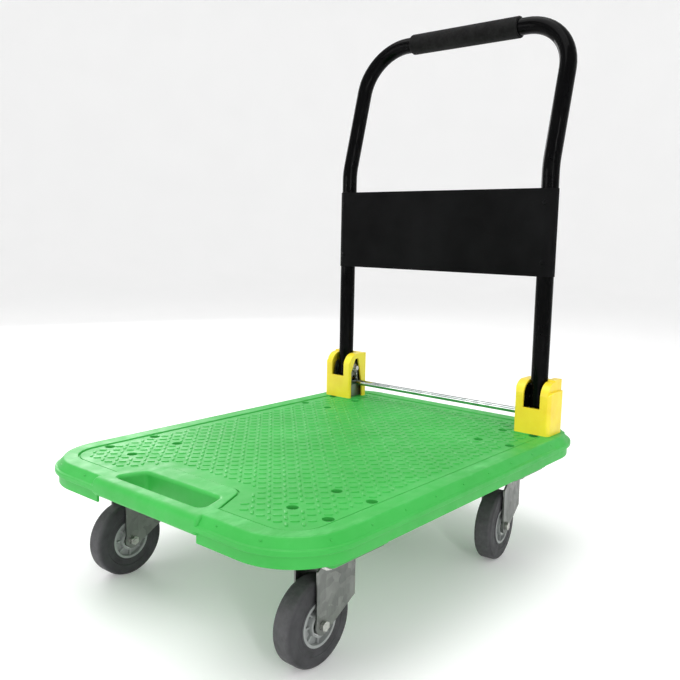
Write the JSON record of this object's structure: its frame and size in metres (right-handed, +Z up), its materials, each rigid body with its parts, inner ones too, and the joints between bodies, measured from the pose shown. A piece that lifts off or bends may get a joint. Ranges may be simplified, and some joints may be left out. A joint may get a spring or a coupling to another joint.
{
  "type": "folding platform cart",
  "caption": "Flat moulded platform on fixed and swivelling casters, with a tubular push handle that folds down onto the deck and locks by a sprung cross bar.",
  "frame": {"origin": "on the floor, under the centre of the deck", "axes": "+X across the deck, +Y along the deck from the hand grip to the handle, +Z up"},
  "size_m": [0.605, 0.825, 1.0055],
  "materials": {
    "deck_plastic": "moulded polypropylene, light satin sheen",
    "cover_plastic": "smooth moulded plastic",
    "handle_enamel": "gloss black powder coat",
    "panel_enamel": "fine textured black powder coat",
    "grip_foam": "closed cell foam",
    "bar_chrome": "bright plated",
    "zinc_sheet": "zinc plated pressed sheet",
    "zinc_fasteners": "bright zinc plate",
    "spring_wire": "drawn wire",
    "bearing_steel": "ground steel",
    "tyre_rubber": "matt moulded rubber",
    "hub_plastic": "moulded nylon"
  },
  "bodies": {
    "chassis": {"deck": "deck_plastic", "caster_bolts": "zinc_fasteners", "caster_nuts": "zinc_fasteners", "front_fork_left": "zinc_sheet", "front_fork_right": "zinc_sheet", "front_axle_bolts": "zinc_fasteners", "front_axle_sleeves": "zinc_fasteners", "front_axle_nuts": "zinc_fasteners", "swivel_plate_left": "zinc_sheet", "swivel_plate_right": "zinc_sheet", "swivel_balls": "bearing_steel", "kingpins": "zinc_fasteners", "hinge_bracket_left": "zinc_sheet", "hinge_bracket_right": "zinc_sheet", "bracket_bolts": "zinc_fasteners", "bracket_nuts": "zinc_fasteners", "pivot_bolt_left": "zinc_fasteners", "pivot_bolt_right": "zinc_fasteners", "pivot_nuts": "zinc_fasteners", "hinge_cover_left": "cover_plastic", "hinge_cover_right": "cover_plastic", "cover_screws": "zinc_fasteners", "spring_left": "spring_wire", "spring_right": "spring_wire"},
    "handle": {"handle_tube": "handle_enamel", "cam_left": "handle_enamel", "cam_right": "handle_enamel", "grip_sleeve": "grip_foam", "back_panel": "panel_enamel", "panel_rivets": "panel_enamel"},
    "lock_bar_set": {"lock_bar": "bar_chrome", "bar_clips": "zinc_fasteners"},
    "caster_left": {"swivel_fork_left": "zinc_sheet", "rear_axle_bolt_left": "zinc_fasteners", "rear_axle_sleeve_left": "zinc_fasteners", "rear_axle_nut_left": "zinc_fasteners"},
    "caster_right": {"swivel_fork_right": "zinc_sheet", "rear_axle_bolt_right": "zinc_fasteners", "rear_axle_sleeve_right": "zinc_fasteners", "rear_axle_nut_right": "zinc_fasteners"},
    "wheel_front_left": {"front_hub_left": "hub_plastic", "front_tyre_left": "tyre_rubber", "front_bearings_left": "bearing_steel"},
    "wheel_front_right": {"front_hub_right": "hub_plastic", "front_tyre_right": "tyre_rubber", "front_bearings_right": "bearing_steel"},
    "wheel_rear_left": {"rear_hub_left": "hub_plastic", "rear_tyre_left": "tyre_rubber", "rear_bearings_left": "bearing_steel"},
    "wheel_rear_right": {"rear_hub_right": "hub_plastic", "rear_tyre_right": "tyre_rubber", "rear_bearings_right": "bearing_steel"}
  },
  "joints": [
    {"name": "handle_fold", "type": "hinge", "parent": "chassis", "child": "handle", "pos_m": [0, 0.318, 0.283], "axis": [1, 0, 0], "range_deg": [0, 90]},
    {"name": "lock_lift", "type": "slide", "parent": "chassis", "child": "lock_bar_set", "axis": [0, 0, 1], "range_m": [0, 0.008], "stiffness_N_per_m": 1500, "springref_m": 0.014, "deforming": ["spring_left", "spring_right"]},
    {"name": "swivel_left", "type": "hinge", "parent": "chassis", "child": "caster_left", "pos_m": [-0.215, 0.24, 0.145], "axis": [0, 0, 1], "continuous": true},
    {"name": "swivel_right", "type": "hinge", "parent": "chassis", "child": "caster_right", "pos_m": [0.215, 0.24, 0.145], "axis": [0, 0, 1], "continuous": true},
    {"name": "front_wheel_spin_left", "type": "hinge", "parent": "chassis", "child": "wheel_front_left", "pos_m": [-0.215, -0.29, 0.0625], "axis": [1, 0, 0], "continuous": true},
    {"name": "front_wheel_spin_right", "type": "hinge", "parent": "chassis", "child": "wheel_front_right", "pos_m": [0.215, -0.29, 0.0625], "axis": [1, 0, 0], "continuous": true},
    {"name": "rear_wheel_spin_left", "type": "hinge", "parent": "caster_left", "child": "wheel_rear_left", "pos_m": [-0.20943, 0.20039, 0.0625], "axis": [0.9903, 0.1392, 0], "continuous": true},
    {"name": "rear_wheel_spin_right", "type": "hinge", "parent": "caster_right", "child": "wheel_rear_right", "pos_m": [0.22057, 0.20039, 0.0625], "axis": [0.9903, 0.1392, 0], "continuous": true}
  ]
}
